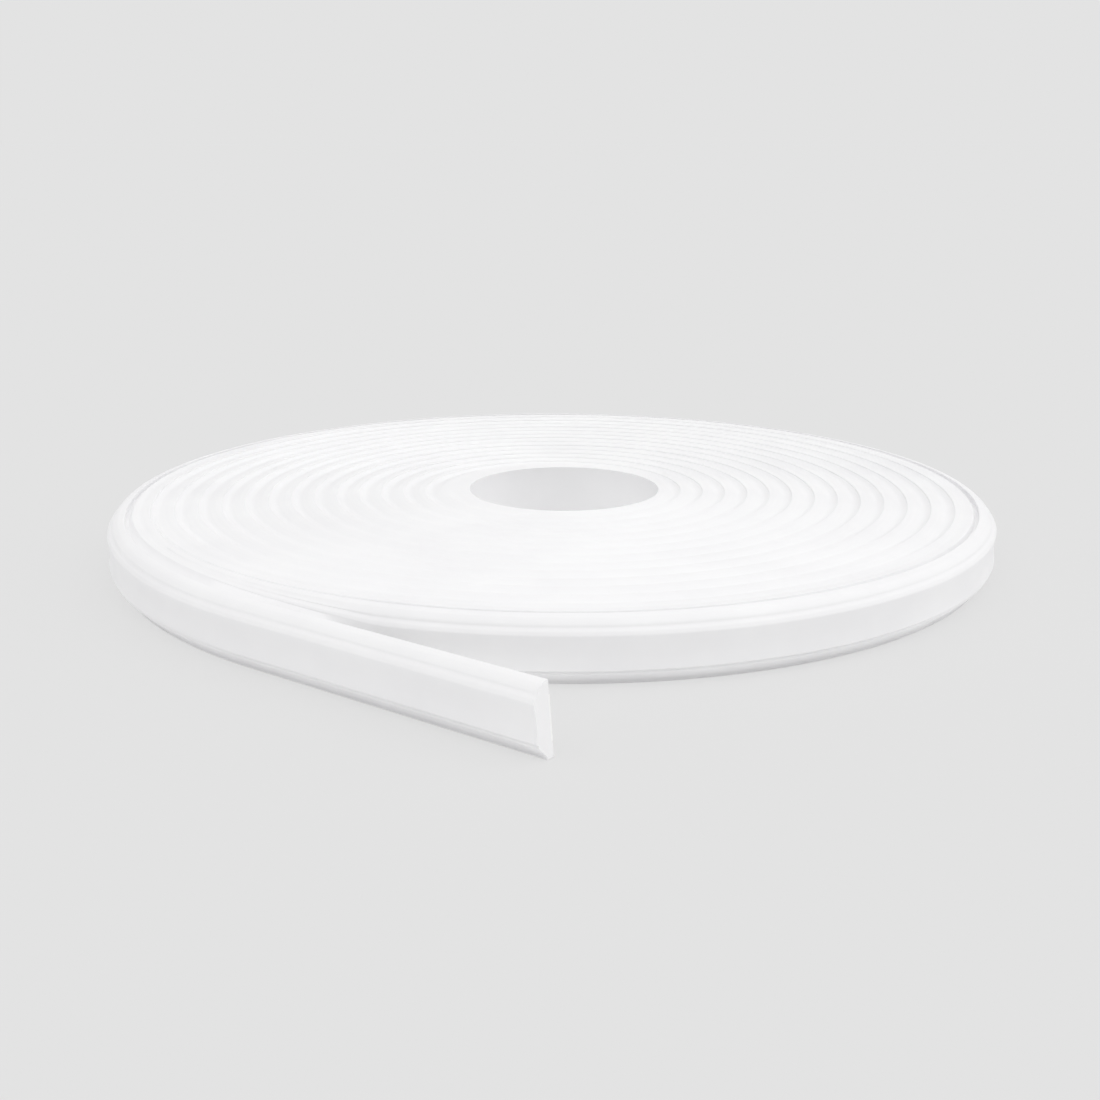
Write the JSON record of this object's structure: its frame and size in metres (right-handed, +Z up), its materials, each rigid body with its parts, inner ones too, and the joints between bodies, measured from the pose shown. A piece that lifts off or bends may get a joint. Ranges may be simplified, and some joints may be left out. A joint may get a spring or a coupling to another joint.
{
  "type": "self-adhesive dado rail",
  "caption": "Flexible white self-adhesive dado rail moulding wound into a flat coil on its edge, with one straight free end showing the moulded section and the tape on its flat back.",
  "frame": {"origin": "on the coil's axis, in the plane that the coil lies on", "axes": "+Z up along the coil's axis and across the strip's width; +X to the right; the free end runs to the front right, towards +X and -Y"},
  "size_m": [0.3171, 0.3634, 0.02],
  "materials": {
    "rail_plastic": "white flexible plastic, smooth, with a soft satin sheen",
    "tape_liner": "white release liner over the adhesive tape, faintly glossy"
  },
  "bodies": {
    "root": {"dado_rail": "rail_plastic", "adhesive_tape": "tape_liner"}
  },
  "joints": []
}
